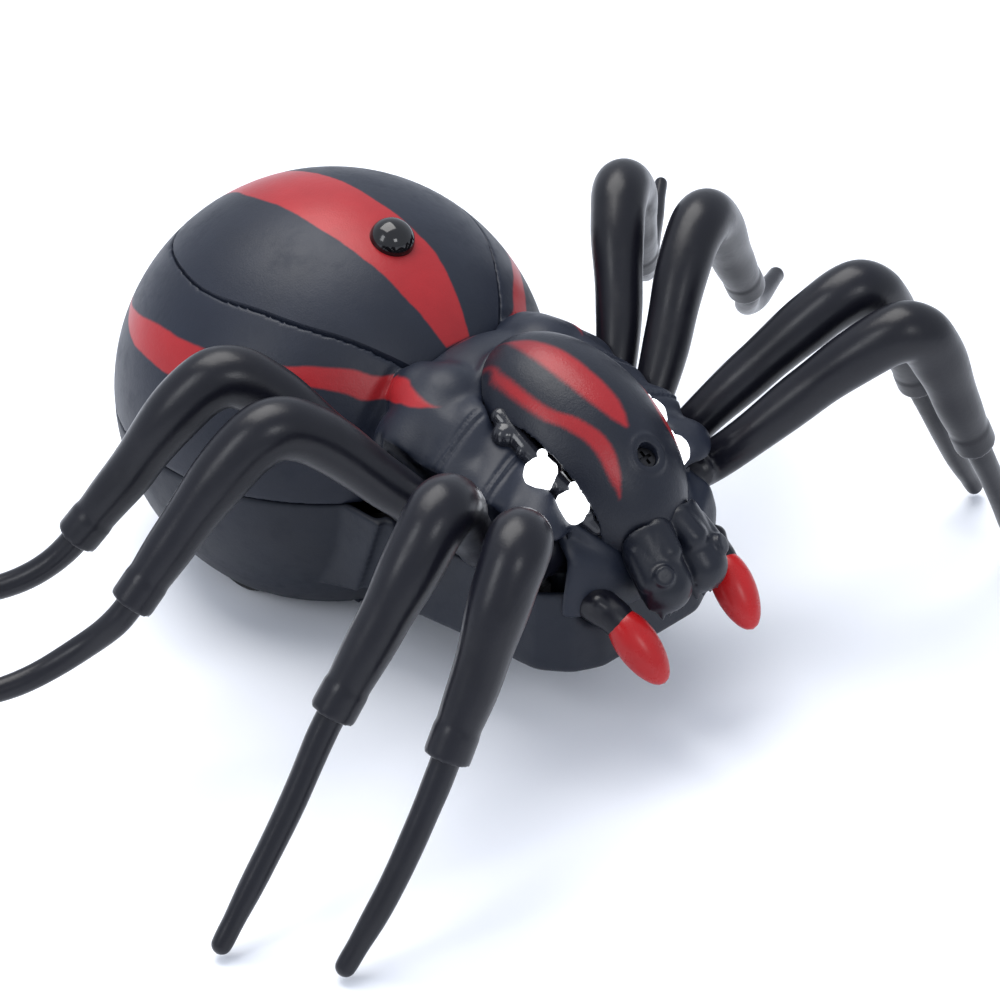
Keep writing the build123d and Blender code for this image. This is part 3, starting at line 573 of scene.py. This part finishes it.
def turned(profile, base, tip, steps=48):
    """A closed shape turned about the line base to tip: (distance along, radius) pairs in mm."""
    bm = bmesh.new()
    base, tip = Vector(base), Vector(tip)
    way = (tip - base).normalized()
    u = way.orthogonal().normalized()
    v = way.cross(u)
    rings = []
    for t, r in profile:
        if r <= 1e-6:
            rings.append([bm.verts.new(to_frame(base + way * t))])
        else:
            angles = [2 * math.pi * i / steps for i in range(steps)]
            spokes = [(u * math.cos(k) + v * math.sin(k)) * r for k in angles]
            rings.append([bm.verts.new(to_frame(base + way * t + spoke)) for spoke in spokes])
    for a, b in zip(rings, rings[1:]):
        for i in range(steps):
            j = (i + 1) % steps
            corners = a[i % len(a)], a[j % len(a)], b[j % len(b)], b[i % len(b)]
            bm.faces.new(list(dict.fromkeys(corners)))
    bmesh.ops.recalc_face_normals(bm, faces=bm.faces)
    return bm


FANG_RINGS = 40


def fang_piece(side):
    """Long egg-shaped fang, rounder at its root."""
    s = 1 if side == "left" else -1
    elbow, tip = Vector((s * 14.3, -96.2, 30.6)), Vector((s * 12.6, -105.8, 20.8))
    length = (tip - elbow).length
    profile = []
    for i in range(FANG_RINGS + 1):
        f = i / FANG_RINGS
        r = 4.35 * math.sqrt(max(0.0, 1 - (2 * f - 1) ** 2)) * (1.04 - 0.18 * f)
        profile.append((-3.2 + (length + 3.0) * f, 0.0 if i in (0, FANG_RINGS) else r))
    o = new_object("fang_drop_" + side, mesh_from(turned(profile, elbow, tip), "fang_" + side))
    return finish_piece(o, "red", "fang_" + side)


def palp_skin(side):
    """Stubby arm with a rolled end that holds the fang."""
    s = 1 if side == "left" else -1
    clay = Clay()
    clay.sweep(mirrored([(15.4, -89.8, 33.0), (14.6, -94.4, 31.6), (14.3, -97.0, 29.8)], s),
               [3.9, 3.5, 3.1], 0.4)
    clay.sweep(mirrored([(16.6, -91.6, 34.2), (16.2, -93.0, 33.6)], s), [2.4, 1.8], 0.4)
    o = clay.skin("palp_skin_" + side, 0.35)
    relax(o.data, 8)
    return finish_piece(o, "leg", "pedipalp_" + side)


# (across, along, out) on the head, and radius, mm: lit eyes, their small lit beads, dark eyes
EYES = [((15.0, -1.9, 4.2), 3.45), ((13.9, -10.4, 4.4), 3.4)]
BEADS = [((14.4, 0.6, 7.4), 1.0), ((13.2, -8.0, 7.5), 1.0)]
DARK_EYES = [((15.3, 8.6, 2.9), 2.5), ((15.3, 3.7, 4.3), 1.35), ((14.4, -6.1, 5.2), 1.2),
             ((14.6, 11.2, 4.2), 1.0)]
# lines and radii of the strip itself
STRIP = [([(13.9, 12.0, 3.6), (14.2, 4.0, 4.4), (13.4, -6.0, 4.8), (12.2, -13.0, 4.4)],
          [1.9, 2.0, 2.1, 1.9]),
         ([(15.0, 8.0, 1.8), (14.8, -2.0, 2.0), (13.2, -11.0, 2.0)], [1.4, 1.5, 1.4]),
         ([(13.0, -12.2, 4.0), (11.4, -15.8, 3.0)], [2.0, 1.7])]


def lit_eye(name, k, at, r):
    """A slightly lumpy ball; k varies the lumps."""
    bm = bmesh.new()
    bmesh.ops.create_icosphere(bm, subdivisions=4, radius=r / 1000)
    for v in bm.verts:
        d = v.co.normalized() * 1000
        wave = math.sin(d.x * 0.0075 + k) * math.sin(d.y * 0.0068 + 2 * k) * math.sin(d.z * 0.0071)
        v.co *= 1 + 0.05 * wave
        v.co += at
    o = new_object(name, mesh_from(bm, name))
    for f in o.data.polygons:
        f.use_smooth = True
    wear(o, M["lit"])
    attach(o, "hull")


def eye_strip(side):
    """Blobby dark strip that the lit eyes are set in."""
    s = 1 if side == "left" else -1
    clay = Clay()
    for line, radii in STRIP:
        clay.sweep([head_point(*p) for p in mirrored(line, s)], radii, 0.4)
    for p, r in DARK_EYES:
        clay.blob(head_point(s * p[0], p[1], p[2]), r, 3)
    for p, r in EYES:
        clay.blob(head_point(s * (p[0] - 2.0), p[1], p[2] - 0.4), r - 0.3, 3)
    o = clay.skin("eye_strip_" + side, 0.24)
    relax(o.data, 3)
    finish_piece(o, "eye_base", "eye_lens_" + side)
    for k, (p, r) in enumerate(EYES + BEADS):
        lit_eye(f"eye_{k}_{side}", k, to_frame(head_point(s * p[0], p[1], p[2])), r)


body_skin()
hull_skin()
head_skin()
jaw_skin()
for side in ("left", "right"):
    palp_skin(side)
    fang_piece(side)
    eye_strip(side)
    for n in (1, 2, 3, 4):
        limb_skin(f"leg{n}_upper_{side}")


# ------------------------------------------------------------------ floor, light, camera

FLOOR_HALF = 3.0                    # m


def floor():
    bm = bmesh.new()
    bm.faces.new([bm.verts.new((x * FLOOR_HALF, y * FLOOR_HALF, 0))
                  for x, y in ((-1, -1), (1, -1), (1, 1), (-1, 1))])
    o = new_object("floor", mesh_from(bm, "floor"))
    t = Tree("floor_paper")
    co = t.node("ShaderNodeTexCoord").outputs["Object"]
    a = t.noise(co, 3.0, 3.0, 0.5)
    t.set(Base_Color=t.mix(a, (0.86, 0.885, 0.95), (0.90, 0.915, 0.96)), Roughness=0.5)
    wear(o, t.mat)


def aim(o, at, way):
    """Puts a light or camera somewhere, looking along a direction."""
    o.location = at
    o.rotation_mode = "QUATERNION"
    o.rotation_quaternion = way.to_track_quat("-Z", "Y")


def area(name, at, look, size, power, colour):
    d = bpy.data.lights.new(name, "AREA")
    d.shape, d.size, d.size_y = "RECTANGLE", size[0], size[1]
    d.energy, d.color = power, colour
    aim(new_object(name, d), at, Vector(look) - Vector(at))


floor()
area("key", (0.05, 0.30, 1.0), (0, 0, 0.03), (0.8, 0.8), 11.0, (1.0, 0.985, 0.96))
area("left", (-1.0, 0.10, 0.75), (0, 0, 0.04), (0.35, 0.6), 3.4, (0.96, 0.98, 1.0))
area("front", (-0.35, -1.1, 0.8), (0, -0.03, 0.04), (0.35, 0.35), 2.6, (0.97, 0.98, 1.0))

world = bpy.data.worlds.new("studio")
world.use_nodes = True
sky = world.node_tree.nodes["Background"].inputs
sky["Color"].default_value = (0.84, 0.90, 1.0, 1.0)
sky["Strength"].default_value = 0.88
bpy.context.scene.world = world
bpy.context.scene.view_settings.view_transform = "Standard"

AZ, EL = math.radians(-45), math.radians(32.5)      # the photo's angle
cam = bpy.data.cameras.new("camera")
cam.lens, cam.sensor_width, cam.clip_start, cam.clip_end = 115.2, 36.0, 0.01, 20.0
camera = new_object("camera", cam)
back = Vector((math.sin(AZ) * math.cos(EL), -math.cos(AZ) * math.cos(EL), math.sin(EL)))
aim(camera, (-0.3822, -0.3965, 0.3751), -back)
bpy.context.scene.camera = camera
